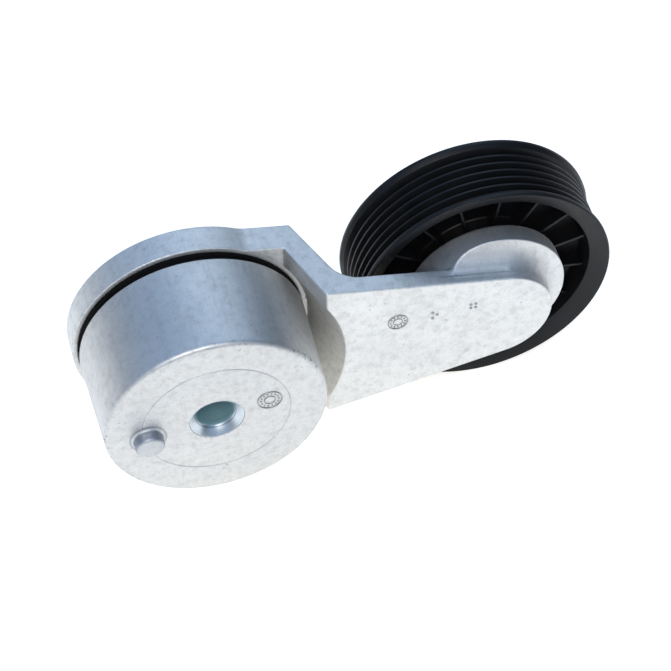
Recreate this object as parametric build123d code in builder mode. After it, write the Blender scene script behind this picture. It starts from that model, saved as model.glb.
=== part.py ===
from build123d import *
import os
from math import cos, sin, tan, radians, sqrt

os.makedirs("parts", exist_ok=True)

# Automatic belt tensioner with a ribbed idler pulley, in millimetres.
# Origin: centre of the mounting bore on the flat mounting face.
# +Y runs along the pivot axis, from the mounting face to the front.
# +X points from the pivot axis to the pulley axis.  +Z is up.

# ---- driving dimensions -------------------------------------------------
ARM_LENGTH = 106.5          # pivot axis to pulley axis

# spring case
CASE_BACK_R = 37.7          # flat mounting face
CASE_EDGE = 1.8             # rounded edge of the mounting face
CASE_RIM_R = 40.9           # outside, at the open end
CASE_LEN = 37.8
CASE_IN_R = 35.2
CASE_FLOOR = 6.0
RING_R = 26.2               # fine ring on the mounting face
TOWER_R = 14.0
TOWER_TOP = 18.0
PIN_X, PIN_V = -24.5, 2.6   # locating pin, V is -Z
PIN_R, PIN_LEN = 5.2, 4.6

# pivot tube
BORE_R = 6.5
TUBE_R = 9.0
TUBE_END = 52.6
FLARE_R = 9.8
FLARE_DEPTH = 3.0

# arm
CAP_R = 42.8
CAP_REAR = 40.4
CAP_UNDER = 43.5
CAP_FRONT = 51.2
CAP_EDGE = 0.7              # rounded front edge
SKIRT_R = 41.1              # inside the cap's lip
SEAL_R = 38.6               # dust seal, at the bottom of the gap
HUB_R = 15.0
HUB_BORE_R = 11.0
HUB_REAR = 19.0
RECESS_R = 20.2
RECESS_Y = 48.0
LEVER_REAR = 17.3
LEVER_FRONT = 24.4
TIP_R = 20.3
TAPER = 10.8                # side walls, degrees to the arm's centre line
SCOOP_R = 50.6              # concave root of the lever, at its rear face
RAMP_REAR = (34.8, 44.0)    # X of the ramp's rear face, at the cap and at the lever
RAMP_FRONT = (39.2, 51.1)
BULGE = (49.5, 57.5)        # radius of the neck's front, at the cap and at the lever

# boss that carries the pulley
BOSS_R = 28.5
BOSS_REAR = 28.2
BOSS_FRONT = 36.1
NECK_R = 12.0
SHIELD_T = 1.0

# bearing 17 x 40 x 12
BRG_BORE = 8.5
BRG_R = 20.0
BRG_W = 12.0
BRG_MID = 45.84
PITCH_R = 14.25
BALL_R = 3.3
BALLS = 8

# pulley, six grooves of 3.56 mm pitch
PITCH = 3.56
GROOVES = 6
CREST_R = 45.7
VALLEY_R = 42.8
FLANGE_R = 47.1
PULLEY_W = 27.7
RIM_IN_R = 40.3
WEB_T = 3.0
RIBS = 16
RIB_T = 1.2
RIB_PHASE = 9.3

# spring
WIRE_R = 2.9
COIL_R = 24.6
COIL_Y0 = 10.35
COIL_Y1 = 40.25
COIL_TURNS = 4.6

# stops: angles about the pivot axis, from +X towards -Z
STOP_IN_R = 30.0
ARM_LUG = (172.0, 188.0)
CASE_STOP_REST = (188.6, 203.0)
CASE_STOP_LOAD = (102.0, 116.4)
SHOE_ARC = (262.0, 456.0)

AX = Plane(origin=(0, 0, 0), x_dir=(1, 0, 0), z_dir=(0, 1, 0))
L = ARM_LENGTH
PUL = Axis((L, 0, 0), (0, 1, 0))
BRG_Y0 = BRG_MID - BRG_W / 2
BRG_Y1 = BRG_MID + BRG_W / 2


def polar(r, deg):
    return (r * cos(radians(deg)), r * sin(radians(deg)))


def sector(r0, r1, a0, a1):
    """Closed outline of a ring sector with true arcs, inside a BuildLine."""
    mid = (a0 + a1) / 2
    ThreePointArc(polar(r1, a0), polar(r1, mid), polar(r1, a1))
    Line(polar(r1, a1), polar(r0, a1))
    ThreePointArc(polar(r0, a1), polar(r0, mid), polar(r0, a0))
    Line(polar(r0, a0), polar(r1, a0))


def half_width(x):
    return TIP_R / cos(radians(TAPER)) + tan(radians(TAPER)) * (L - x)


def ring(r0, r1, y0, y1, dx=0.0):
    """Corners of a plain ring's section."""
    return [(r0 + dx, y0), (r1 + dx, y0), (r1 + dx, y1), (r0 + dx, y1)]


def shifted(points, dx):
    return [(x + dx, y) for x, y in points]


# ---- spring case --------------------------------------------------------
with BuildPart() as pin_blank:
    with BuildSketch(Plane.XY):
        with BuildLine():
            Polyline(*shifted([
                (0, 1.0), (PIN_R + 1.2, 1.0), (PIN_R + 1.2, 0), (PIN_R + 0.35, -0.35),
                (PIN_R, -1.1), (PIN_R, -PIN_LEN + 1.5), (PIN_R - 0.5, -PIN_LEN + 0.5),
                (PIN_R - 1.6, -PIN_LEN), (0, -PIN_LEN)], PIN_X), close=True)
        make_face()
    revolve(axis=Axis((PIN_X, 0, 0), (0, 1, 0)))

with BuildPart() as spring_case:
    with BuildSketch(Plane.XY):
        with BuildLine():
            Line((FLARE_R, 0), (CASE_BACK_R, 0))
            TangentArc((CASE_BACK_R, 0), (CASE_BACK_R + CASE_EDGE, CASE_EDGE), tangent=(1, 0))
            Polyline(
                (CASE_BACK_R + CASE_EDGE, CASE_EDGE),
                (CASE_RIM_R, CASE_LEN - 0.5), (CASE_RIM_R - 0.5, CASE_LEN),
                (CASE_IN_R, CASE_LEN), (CASE_IN_R, CASE_FLOOR),
                (TOWER_R, CASE_FLOOR), (TOWER_R, TOWER_TOP),
                (TUBE_R, TOWER_TOP), (TUBE_R, FLARE_DEPTH),
                (FLARE_R, 1.2), (FLARE_R, 0))
        make_face()
    revolve(axis=Axis.Y)
    # fine ring turned into the mounting face
    with BuildSketch(Plane.XY):
        with BuildLine():
            Polyline((RING_R - 0.35, -0.1), (RING_R + 0.35, -0.1), (RING_R, 0.3), close=True)
        make_face()
    revolve(axis=Axis.Y, mode=Mode.SUBTRACT)
    # locating pin
    add(pin_blank.part.moved(Location((0, 0, -PIN_V))))
    # rest stop and load stop on the wall
    for a0, a1 in (CASE_STOP_REST, CASE_STOP_LOAD):
        with BuildSketch(AX.offset(CASE_FLOOR - 0.5)):
            with BuildLine():
                sector(STOP_IN_R, CASE_IN_R + 1.0, a0, a1)
            make_face()
        extrude(amount=37.0 - CASE_FLOOR + 0.5)
    # stop for the rear end of the spring
    with BuildSketch(AX.offset(CASE_FLOOR - 0.5)):
        with BuildLine():
            sector(21.2, 28.2, -13.0, -0.8)
        make_face()
    extrude(amount=13.1 - CASE_FLOOR + 0.5)
spring_case.part.label = "spring_case"
export_step(spring_case.part, "parts/spring_case.step")

# ---- pivot tube ---------------------------------------------------------
with BuildPart() as pivot_tube:
    with BuildSketch(Plane.XY):
        with BuildLine():
            Polyline(
                (FLARE_R - 0.25, 0.05), (FLARE_R, 0.3), (FLARE_R, 1.2), (TUBE_R, FLARE_DEPTH),
                (TUBE_R, 51.4), (TUBE_R + 2.2, 51.4), (TUBE_R + 2.2, TUBE_END - 0.4),
                (TUBE_R + 1.8, TUBE_END), (BORE_R + 0.5, TUBE_END), (BORE_R, TUBE_END - 0.5),
                (BORE_R, 3.2), (BORE_R + 0.15, 2.7), close=True)
        make_face()
    revolve(axis=Axis.Y)
pivot_tube.part.label = "pivot_tube"
export_step(pivot_tube.part, "parts/pivot_tube.step")

# ---- spring seat --------------------------------------------------------
with BuildPart() as spring_seat:
    with BuildSketch(AX.offset(CASE_FLOOR)):
        with BuildLine():
            sector(20.6, 29.0, 0.2, 180.0)
        make_face()
        with BuildLine():
            sector(20.6, 29.0, 180.0, 345.5)
        make_face()
    extrude(amount=1.4)
spring_seat.part.label = "spring_seat"
export_step(spring_seat.part, "parts/spring_seat.step")

# ---- rear thrust washer -------------------------------------------------
with BuildPart() as rear_thrust_washer:
    with BuildSketch(Plane.XY):
        with BuildLine():
            Polyline(*ring(TUBE_R, 13.6, TOWER_TOP, TOWER_TOP + 0.7), close=True)
        make_face()
    revolve(axis=Axis.Y)
rear_thrust_washer.part.label = "rear_thrust_washer"
export_step(rear_thrust_washer.part, "parts/rear_thrust_washer.step")

# ---- front thrust washer and front plate --------------------------------
with BuildPart() as front_thrust_washer:
    with BuildSketch(Plane.XY):
        with BuildLine():
            Polyline(*ring(TUBE_R, 19.0, RECESS_Y + 0.3, 49.4), close=True)
        make_face()
    revolve(axis=Axis.Y)
front_thrust_washer.part.label = "front_thrust_washer"
export_step(front_thrust_washer.part, "parts/front_thrust_washer.step")

with BuildPart() as front_plate:
    with BuildSketch(Plane.XY):
        with BuildLine():
            Polyline((TUBE_R, 49.4), (19.5, 49.4), (19.5, 50.9), (19.0, 51.4), (TUBE_R, 51.4), close=True)
        make_face()
    revolve(axis=Axis.Y)
front_plate.part.label = "front_plate"
export_step(front_plate.part, "parts/front_plate.step")

# ---- torsion spring -----------------------------------------------------
with BuildPart() as coil_blank:
    with BuildLine() as coil_path:
        Helix(pitch=(COIL_Y1 - COIL_Y0) / COIL_TURNS, height=COIL_Y1 - COIL_Y0, radius=COIL_R)
    with BuildSketch(Plane(origin=coil_path.line @ 0, z_dir=coil_path.line % 0)):
        Circle(WIRE_R)
    sweep(path=coil_path.line, is_frenet=True)
with BuildPart() as torsion_spring:
    add(coil_blank.part.moved(Location((0, 0, COIL_Y0))).rotate(Axis.X, -90))
torsion_spring.part.label = "torsion_spring"
export_step(torsion_spring.part, "parts/torsion_spring.step")
COIL_END = (COIL_TURNS * 360) % 360

# ---- arm ----------------------------------------------------------------
with BuildPart() as outline:
    # plan outline of ramp, lever and tip
    with BuildSketch(AX):
        tx, tv = L + TIP_R * sin(radians(TAPER)), TIP_R * cos(radians(TAPER))
        with BuildLine():
            Polyline((tx, -tv), (15, -half_width(15)), (15, half_width(15)), (tx, tv))
            ThreePointArc((tx, tv), (L + TIP_R, 0), (tx, -tv))
        make_face()
    extrude(amount=60)

with BuildPart() as lever_blank:
    # side view of cap extension, ramp and lever
    with BuildSketch(Plane.XY) as side:
        with BuildLine():
            Polyline(
                (15, CAP_REAR), (RAMP_REAR[0], CAP_REAR), (RAMP_REAR[1], LEVER_REAR),
                (L + 40, LEVER_REAR), (L + 40, LEVER_FRONT), (RAMP_FRONT[1], LEVER_FRONT),
                (RAMP_FRONT[0], CAP_FRONT), (15, CAP_FRONT), close=True)
        make_face()
        fillet(side.vertices().sort_by_distance((RAMP_FRONT[1], LEVER_FRONT))[0], radius=6)
    extrude(amount=60, both=True)
    add(outline.part, mode=Mode.INTERSECT)

with BuildPart() as bulge_blank:
    # rounded front of the neck, between cap and lever
    with BuildSketch(Plane.XY) as bulge_side:
        with BuildLine():
            Polyline(
                (30, LEVER_REAR + 2), (66, LEVER_REAR + 2), (66, LEVER_FRONT),
                (BULGE[1], LEVER_FRONT), (BULGE[0], CAP_FRONT), (30, CAP_FRONT), close=True)
        make_face()
        fillet(bulge_side.vertices().sort_by_distance((BULGE[1], LEVER_FRONT))[0], radius=6)
        fillet(bulge_side.vertices().sort_by_distance((BULGE[0], CAP_FRONT))[0], radius=1.5)
    revolve(axis=Axis.Y)
    add(outline.part, mode=Mode.INTERSECT)
    # nothing behind the ramp's rear face
    with BuildSketch(Plane.XY):
        lean = (RAMP_REAR[1] - RAMP_REAR[0]) / (CAP_REAR - LEVER_REAR)
        with BuildLine():
            Polyline((0, 5), (RAMP_REAR[1] + lean * (LEVER_REAR - 5), 5), (RAMP_REAR[0], CAP_REAR),
                     (0, CAP_REAR), close=True)
        make_face()
    extrude(amount=60, both=True, mode=Mode.SUBTRACT)

with BuildPart() as boss_blank:
    q = BOSS_R - TIP_R
    with BuildSketch(Plane.XY):
        with BuildLine():
            Polyline(
                (L, BOSS_REAR - q), (L + BOSS_R, BOSS_REAR - q), (L + BOSS_R, BOSS_FRONT - 1.2),
                (L + BOSS_R - 1.2, BOSS_FRONT), (L + NECK_R + 3, BOSS_FRONT),
                (L + NECK_R, BOSS_FRONT + 1.2), (L + NECK_R, BRG_Y0 - SHIELD_T),
                (L + BRG_BORE, BRG_Y0 - SHIELD_T), (L + BRG_BORE, BRG_Y1 - 1.6),
                (L + BRG_BORE - 0.6, BRG_Y1 - 1.0), (L, BRG_Y1 - 1.0), (L, BOSS_REAR - q))
        make_face()
    revolve(axis=PUL)
    # concave foot, following the lever's outline
    fx, fv = (BOSS_R + 0.01) * sin(radians(TAPER)), (BOSS_R + 0.01) * cos(radians(TAPER))
    bx, bv = 50 * cos(radians(TAPER)), 50 * sin(radians(TAPER))
    with BuildLine(AX.offset(BOSS_REAR - q)) as foot_path:
        Line((L + fx - bx, fv + bv), (L + fx, fv))
        ThreePointArc((L + fx, fv), (L + BOSS_R + 0.01, 0), (L + fx, -fv))
        Line((L + fx, -fv), (L + fx - bx, -fv - bv))
    foot_wire = foot_path.wires()[0]
    with BuildSketch(Plane(origin=foot_wire @ 0, z_dir=foot_wire % 0)):
        Circle(q)
    sweep(path=foot_wire, mode=Mode.SUBTRACT)

with BuildPart() as arm:
    # cap
    with BuildSketch(Plane.XY):
        with BuildLine():
            Line((0, CAP_REAR), (CAP_R, CAP_REAR))
            Line((CAP_R, CAP_REAR), (CAP_R, CAP_FRONT - CAP_EDGE))
            TangentArc((CAP_R, CAP_FRONT - CAP_EDGE), (CAP_R - CAP_EDGE, CAP_FRONT), tangent=(0, 1))
            Polyline((CAP_R - CAP_EDGE, CAP_FRONT), (0, CAP_FRONT), (0, CAP_REAR))
        make_face()
    revolve(axis=Axis.Y)
    add(lever_blank.part)
    add(bulge_blank.part)
    add(boss_blank.part)
    # room for the case: concave lever root, and the inside of the cap
    with BuildSketch(Plane.XY):
        slope = (SCOOP_R - CAP_R) / (CAP_REAR - LEVER_REAR)
        with BuildLine():
            Polyline(
                (0, LEVER_REAR - 4), (SCOOP_R + 4 * slope, LEVER_REAR - 4), (CAP_R, CAP_REAR),
                (SKIRT_R, CAP_REAR), (SKIRT_R, CAP_UNDER), (0, CAP_UNDER), close=True)
        make_face()
    revolve(axis=Axis.Y, mode=Mode.SUBTRACT)
    # hub
    with BuildSketch(AX.offset(HUB_REAR)):
        Circle(HUB_R)
    extrude(amount=CAP_UNDER - HUB_REAR + 1)
    # swing stop, and the lug that holds the front end of the spring
    with BuildSketch(AX.offset(30.5)):
        with BuildLine():
            sector(STOP_IN_R - 0.4, CASE_IN_R - 0.5, *ARM_LUG)
        make_face()
    extrude(amount=CAP_UNDER - 30.5 + 1)
    with BuildSketch(AX.offset(37.1)):
        with BuildLine():
            sector(21.2, 27.8, COIL_END + 0.8, COIL_END + 13.0)
        make_face()
    extrude(amount=CAP_UNDER - 37.1 + 1)
    # bores
    with BuildSketch(AX.offset(HUB_REAR - 1)):
        Circle(HUB_BORE_R)
    extrude(amount=CAP_FRONT, mode=Mode.SUBTRACT)
    with BuildSketch(AX.offset(RECESS_Y)):
        Circle(RECESS_R)
    extrude(amount=10, mode=Mode.SUBTRACT)
    with BuildSketch(AX.offset(24.0)):
        with Locations((L, 0)):
            Circle(5.0)
    extrude(amount=40, mode=Mode.SUBTRACT)
arm.part.label = "arm"
export_step(arm.part, "parts/arm.step")

# ---- pivot bushing and spring sleeve ------------------------------------
with BuildPart() as pivot_bushing:
    with BuildSketch(Plane.XY):
        with BuildLine():
            Polyline(*ring(TUBE_R + 0.1, HUB_BORE_R, HUB_REAR + 0.6, RECESS_Y - 0.4), close=True)
        make_face()
    revolve(axis=Axis.Y)
pivot_bushing.part.label = "pivot_bushing"
export_step(pivot_bushing.part, "parts/pivot_bushing.step")

with BuildPart() as spring_sleeve:
    with BuildSketch(Plane.XY):
        with BuildLine():
            Polyline(*ring(HUB_R, 18.2, HUB_REAR + 1.0, CAP_UNDER), close=True)
        make_face()
    revolve(axis=Axis.Y)
spring_sleeve.part.label = "spring_sleeve"
export_step(spring_sleeve.part, "parts/spring_sleeve.step")

# ---- damper -------------------------------------------------------------
with BuildPart() as damper_backing:
    with BuildSketch(AX.offset(31.5)):
        with BuildLine():
            sector(28.2, 29.2, *SHOE_ARC)
        make_face()
    extrude(amount=CAP_UNDER - 31.5)
damper_backing.part.label = "damper_backing"
export_step(damper_backing.part, "parts/damper_backing.step")

with BuildPart() as damper_shoe:
    with BuildSketch(AX.offset(31.5)):
        with BuildLine():
            sector(29.2, CASE_IN_R - 0.3, *SHOE_ARC)
        make_face()
    extrude(amount=CAP_UNDER - 31.5)
damper_shoe.part.label = "damper_shoe"
export_step(damper_shoe.part, "parts/damper_shoe.step")

# ---- dust seal in the gap between case and cap --------------------------
with BuildPart() as dust_seal:
    with BuildSketch(Plane.XY):
        with BuildLine():
            Polyline(
                (36.2, 38.15), (SEAL_R - 0.4, 38.15), (SEAL_R, 38.55), (SEAL_R, CAP_REAR + 0.8),
                (SKIRT_R, CAP_REAR + 1.6), (SKIRT_R, CAP_UNDER), (36.2, CAP_UNDER), close=True)
        make_face()
    revolve(axis=Axis.Y)
dust_seal.part.label = "dust_seal"
export_step(dust_seal.part, "parts/dust_seal.step")

# ---- bearing ------------------------------------------------------------
GROOVE_R = BALL_R + 0.15
LAND_IN, LAND_OUT = 12.1, 16.4

with BuildPart() as bearing_inner_race:
    with BuildSketch(Plane.XY):
        with BuildLine():
            Polyline(*ring(BRG_BORE, LAND_IN, BRG_Y0, BRG_Y1, L), close=True)
        make_face()
        with Locations((L + PITCH_R, BRG_MID)):
            Circle(GROOVE_R, mode=Mode.SUBTRACT)
    revolve(axis=PUL)
bearing_inner_race.part.label = "bearing_inner_race"
export_step(bearing_inner_race.part, "parts/bearing_inner_race.step")

with BuildPart() as bearing_outer_race:
    with BuildSketch(Plane.XY):
        with BuildLine():
            Polyline(*ring(LAND_OUT, BRG_R, BRG_Y0, BRG_Y1, L), close=True)
        make_face()
        with Locations((L + PITCH_R, BRG_MID)):
            Circle(GROOVE_R, mode=Mode.SUBTRACT)
    revolve(axis=PUL)
bearing_outer_race.part.label = "bearing_outer_race"
export_step(bearing_outer_race.part, "parts/bearing_outer_race.step")

with BuildPart() as bearing_balls:
    with Locations(AX.offset(BRG_MID)):
        with Locations((L, 0)):
            with PolarLocations(PITCH_R, BALLS):
                Sphere(BALL_R)
bearing_balls.part.label = "bearing_balls"
export_step(bearing_balls.part, "parts/bearing_balls.step")

with BuildPart() as bearing_cage:
    with BuildSketch(Plane.XY):
        with BuildLine():
            Polyline(*ring(PITCH_R - 0.9, PITCH_R + 0.9, BRG_MID - 4.4, BRG_MID + 4.4, L), close=True)
        make_face()
    revolve(axis=PUL)
    # round pockets, drilled radially
    for i in range(BALLS):
        ca, sa = cos(radians(360 / BALLS * i)), sin(radians(360 / BALLS * i))
        with BuildSketch(Plane(origin=(L + 10 * ca, BRG_MID, -10 * sa), x_dir=(0, 1, 0), z_dir=(ca, 0, -sa))):
            Circle(BALL_R + 0.12)
        extrude(amount=9, mode=Mode.SUBTRACT)
bearing_cage.part.label = "bearing_cage"
export_step(bearing_cage.part, "parts/bearing_cage.step")

with BuildPart() as bearing_seal_rear:
    with BuildSketch(Plane.XY):
        with BuildLine():
            Polyline(*ring(LAND_IN + 0.25, LAND_OUT, BRG_Y0 + 0.2, BRG_Y0 + 1.1, L), close=True)
        make_face()
    revolve(axis=PUL)
bearing_seal_rear.part.label = "bearing_seal_rear"
export_step(bearing_seal_rear.part, "parts/bearing_seal_rear.step")

with BuildPart() as bearing_seal_front:
    with BuildSketch(Plane.XY):
        with BuildLine():
            Polyline(*ring(LAND_IN + 0.25, LAND_OUT, BRG_Y1 - 1.1, BRG_Y1 - 0.2, L), close=True)
        make_face()
    revolve(axis=PUL)
bearing_seal_front.part.label = "bearing_seal_front"
export_step(bearing_seal_front.part, "parts/bearing_seal_front.step")

# ---- dust shields -------------------------------------------------------
with BuildPart() as rear_dust_shield:
    with BuildSketch(Plane.XY):
        with BuildLine():
            Polyline(*shifted([
                (BRG_BORE, BRG_Y0 - SHIELD_T), (14.0, BRG_Y0 - SHIELD_T),
                (15.5, BRG_Y0 - SHIELD_T - 0.9), (21.5, BRG_Y0 - SHIELD_T - 0.9),
                (21.5, BRG_Y0 - SHIELD_T + 0.0), (15.9, BRG_Y0 - SHIELD_T + 0.0),
                (14.4, BRG_Y0 - 0.1), (12.0, BRG_Y0), (BRG_BORE, BRG_Y0)], L), close=True)
        make_face()
    revolve(axis=PUL)
rear_dust_shield.part.label = "rear_dust_shield"
export_step(rear_dust_shield.part, "parts/rear_dust_shield.step")

with BuildPart() as front_dust_shield:
    with BuildSketch(Plane.XY):
        with BuildLine():
            Polyline(*shifted([
                (5.1, BRG_Y1), (12.0, BRG_Y1), (14.4, BRG_Y1 + 0.1), (15.9, BRG_Y1 + SHIELD_T),
                (21.5, BRG_Y1 + SHIELD_T), (21.5, BRG_Y1 + SHIELD_T + 0.9),
                (15.5, BRG_Y1 + SHIELD_T + 0.9), (14.0, BRG_Y1 + SHIELD_T), (5.1, BRG_Y1 + SHIELD_T)], L),
                close=True)
        make_face()
    revolve(axis=PUL)
front_dust_shield.part.label = "front_dust_shield"
export_step(front_dust_shield.part, "parts/front_dust_shield.step")

# ---- pulley bolt --------------------------------------------------------
HEAD_Y = BRG_Y1 + SHIELD_T
with BuildPart() as pulley_bolt:
    with BuildSketch(Plane.XY):
        with BuildLine():
            Polyline(*shifted([
                (0, 25.0), (4.2, 25.0), (5.0, 25.8), (5.0, HEAD_Y), (10.5, HEAD_Y),
                (10.5, HEAD_Y + 0.9), (8.6, HEAD_Y + 2.4), (0, HEAD_Y + 2.4)], L), close=True)
        make_face()
    revolve(axis=PUL)
    with BuildSketch(AX.offset(HEAD_Y + 1.2)):
        with Locations((L, 0)):
            RegularPolygon(radius=8.0, side_count=6, major_radius=False)
    extrude(amount=7.0)
pulley_bolt.part.label = "pulley_bolt"
export_step(pulley_bolt.part, "parts/pulley_bolt.step")

# ---- pulley -------------------------------------------------------------
P0 = BRG_MID - PULLEY_W / 2
half = PULLEY_W / 2
slope_v = tan(radians(20))
rise = (CREST_R - VALLEY_R) * slope_v
flat = (PITCH - 2 * rise) / 2
rim = []
first = -PITCH * (GROOVES - 1) / 2
for i in range(GROOVES):
    c = first + i * PITCH
    if i == 0:
        rim += [(CREST_R + 0.5, c - flat / 2 - rise - 0.25)]
    else:
        rim += [(CREST_R, c - flat / 2 - rise)]
    rim += [(VALLEY_R, c - flat / 2), (VALLEY_R, c + flat / 2)]
    if i == GROOVES - 1:
        rim += [(CREST_R + 0.5, c + flat / 2 + rise + 0.25)]
    else:
        rim += [(CREST_R, c + flat / 2 + rise)]
section = (
    [(RIM_IN_R + 0.0, -half + 3.2), (FLANGE_R - 0.7, -half), (FLANGE_R, -half + 0.6), (FLANGE_R, -half + 1.7)]
    + rim
    + [(FLANGE_R, half - 1.7), (FLANGE_R, half - 0.6), (FLANGE_R - 0.7, half), (RIM_IN_R, half - 3.2),
       (RIM_IN_R - 1.0, WEB_T / 2), (23.8, WEB_T / 2), (23.2, BRG_W / 2 + 0.8), (18.8, BRG_W / 2 + 0.8),
       (18.8, BRG_W / 2), (BRG_R, BRG_W / 2), (BRG_R, -BRG_W / 2), (18.8, -BRG_W / 2),
       (18.8, -BRG_W / 2 - 0.8), (23.2, -BRG_W / 2 - 0.8), (23.8, -WEB_T / 2), (RIM_IN_R - 1.0, -WEB_T / 2)]
)
with BuildPart() as pulley:
    with BuildSketch(Plane.XY):
        with BuildLine():
            Polyline(*[(L + r, BRG_MID + y) for r, y in section], close=True)
        make_face()
    revolve(axis=PUL)
    # radial ribs on both sides of the web
    for y0, h in ((BRG_MID - 7.6, 7.6 - WEB_T / 2 + 0.3), (BRG_MID + WEB_T / 2 - 0.3, 7.6 - WEB_T / 2 + 0.3)):
        with BuildSketch(AX.offset(y0)):
            with Locations((L, 0)):
                with PolarLocations((23.0 + 39.9) / 2 + 0.3, RIBS, start_angle=RIB_PHASE):
                    Rectangle(39.9 - 23.0 - 0.6, RIB_T)
        extrude(amount=h)
pulley.part.label = "pulley"
export_step(pulley.part, "parts/pulley.step")

for name, p in (("spring_case", spring_case), ("arm", arm), ("pulley", pulley), ("torsion_spring", torsion_spring)):
    print(name, round(p.part.volume), "mm3", len(p.part.solids()), "solid(s)", p.part.is_valid)
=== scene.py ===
import math
import bpy
import bmesh
import numpy as np
from mathutils import Vector, Matrix


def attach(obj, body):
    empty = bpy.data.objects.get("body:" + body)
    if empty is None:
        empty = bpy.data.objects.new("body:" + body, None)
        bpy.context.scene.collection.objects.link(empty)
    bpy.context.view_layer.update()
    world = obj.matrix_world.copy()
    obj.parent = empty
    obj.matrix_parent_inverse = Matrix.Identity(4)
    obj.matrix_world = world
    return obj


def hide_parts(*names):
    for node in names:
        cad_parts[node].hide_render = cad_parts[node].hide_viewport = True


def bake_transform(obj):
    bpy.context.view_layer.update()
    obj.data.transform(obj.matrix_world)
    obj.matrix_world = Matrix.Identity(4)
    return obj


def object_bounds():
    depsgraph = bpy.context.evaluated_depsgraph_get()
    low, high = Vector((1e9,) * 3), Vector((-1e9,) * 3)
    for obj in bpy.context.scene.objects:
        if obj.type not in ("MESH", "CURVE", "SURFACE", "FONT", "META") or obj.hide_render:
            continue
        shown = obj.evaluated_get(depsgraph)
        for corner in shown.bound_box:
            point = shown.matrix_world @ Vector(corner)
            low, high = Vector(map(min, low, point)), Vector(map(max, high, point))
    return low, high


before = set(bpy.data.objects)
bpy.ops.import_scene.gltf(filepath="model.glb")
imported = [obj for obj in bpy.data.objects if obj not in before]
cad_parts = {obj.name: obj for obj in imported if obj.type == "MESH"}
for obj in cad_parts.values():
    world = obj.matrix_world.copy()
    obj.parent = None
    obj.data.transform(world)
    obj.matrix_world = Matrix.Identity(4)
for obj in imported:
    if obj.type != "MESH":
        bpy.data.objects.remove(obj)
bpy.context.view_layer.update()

MM = 0.001
L = 106.5                     # pivot axis to pulley axis
PIN_X, PIN_Z = -24.5, -2.6    # locating pin on the case
rng = np.random.default_rng(7)

# =====================================================================
# mesh helpers (all lengths in millimetres until the mesh is made)
# =====================================================================


def new_object(name, verts, faces, sharp_deg=38.0, smooth=True):
    me = bpy.data.meshes.new(name)
    v = np.asarray(verts, float) * MM
    me.from_pydata([tuple(p) for p in v], [], [tuple(int(i) for i in f) for f in faces])
    me.validate()
    me.update()
    ob = bpy.data.objects.new(name, me)
    bpy.context.scene.collection.objects.link(ob)
    if smooth:
        shade(ob, sharp_deg)
    return ob


def shade(ob, sharp_deg=38.0):
    """Smooth shading, with edges over the given angle kept crisp."""
    me = ob.data
    me.polygons.foreach_set("use_smooth", np.ones(len(me.polygons), bool))
    bm = bmesh.new()
    bm.from_mesh(me)
    lim = math.radians(sharp_deg)
    for e in bm.edges:
        e.smooth = not (len(e.link_faces) == 2 and e.calc_face_angle(0.0) > lim)
    bm.to_mesh(me)
    bm.free()
    me.update()


def rounded(points, n=5):
    """Closed or open profile: each point is (r, y) or (r, y, fillet radius)."""
    pts = [(p[0], p[1], p[2] if len(p) > 2 else 0.0) for p in points]
    out = []
    m = len(pts)
    for i, (x, y, rad) in enumerate(pts):
        if rad <= 0:
            out.append((x, y))
            continue
        p = np.array([x, y], float)
        a = np.array(pts[(i - 1) % m][:2], float) - p
        b = np.array(pts[(i + 1) % m][:2], float) - p
        la, lb = np.linalg.norm(a), np.linalg.norm(b)
        a, b = a / la, b / lb
        ang = math.acos(max(-1, min(1, float(a @ b))))
        t = min(rad / math.tan(ang / 2), 0.49 * la, 0.49 * lb)
        r = t * math.tan(ang / 2)
        bis = (a + b) / np.linalg.norm(a + b)
        c = p + bis * (r / math.sin(ang / 2))
        s, e = p + a * t - c, p + b * t - c
        a0, a1 = math.atan2(s[1], s[0]), math.atan2(e[1], e[0])
        d = (a1 - a0 + math.pi) % (2 * math.pi) - math.pi
        for k in range(n + 1):
            th = a0 + d * k / n
            out.append((c[0] + r * math.cos(th), c[1] + r * math.sin(th)))
    return out


def lathe(name, profile, cx=0.0, segs=192, sharp_deg=38.0, wobble=None):
    """Closed profile of (r, y) turned about the line x=cx parallel to Y."""
    pr = np.array(profile, float)
    area = 0.5 * np.sum(pr[:, 0] * np.roll(pr[:, 1], -1) - np.roll(pr[:, 0], -1) * pr[:, 1])
    if area < 0:
        pr = pr[::-1]
    n = len(pr)
    th = np.arange(segs) * 2 * math.pi / segs
    r, y = pr[:, 0], pr[:, 1]
    R = r[None, :] + (wobble(th[:, None], r[None, :], y[None, :]) if wobble else 0.0)
    V = np.stack([cx + R * np.cos(th)[:, None], np.broadcast_to(y[None, :], (segs, n)), -R * np.sin(th)[:, None]], -1).reshape(-1, 3)
    i = np.arange(segs)[:, None]
    j = np.arange(n)[None, :]
    i2, j2 = (i + 1) % segs, (j + 1) % n
    a, b, c, d = i * n + j, i2 * n + j, i2 * n + j2, i * n + j2
    on_axis = (r < 1e-6)
    quads = np.stack([a, d, c, b], -1)
    faces = []
    pole = {}
    verts = V
    for jj in range(n):
        jn = (jj + 1) % n
        if on_axis[jj] and on_axis[jn]:
            continue
        q = quads[:, jj]
        if on_axis[jj]:
            q = q[:, [0, 1, 2]]
            q = q.copy()
            q[:, 0] = jj
        elif on_axis[jn]:
            q = q[:, [0, 1, 3]].copy()
            q[:, 1] = jn
        faces += q.tolist()
    ob = new_object(name, verts, faces, smooth=False)
    bm = bmesh.new()
    bm.from_mesh(ob.data)
    loose = [v for v in bm.verts if not v.link_faces]
    bmesh.ops.delete(bm, geom=loose, context="VERTS")
    bmesh.ops.recalc_face_normals(bm, faces=bm.faces[:])
    bm.to_mesh(ob.data)
    bm.free()
    shade(ob, sharp_deg)
    return ob


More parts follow.
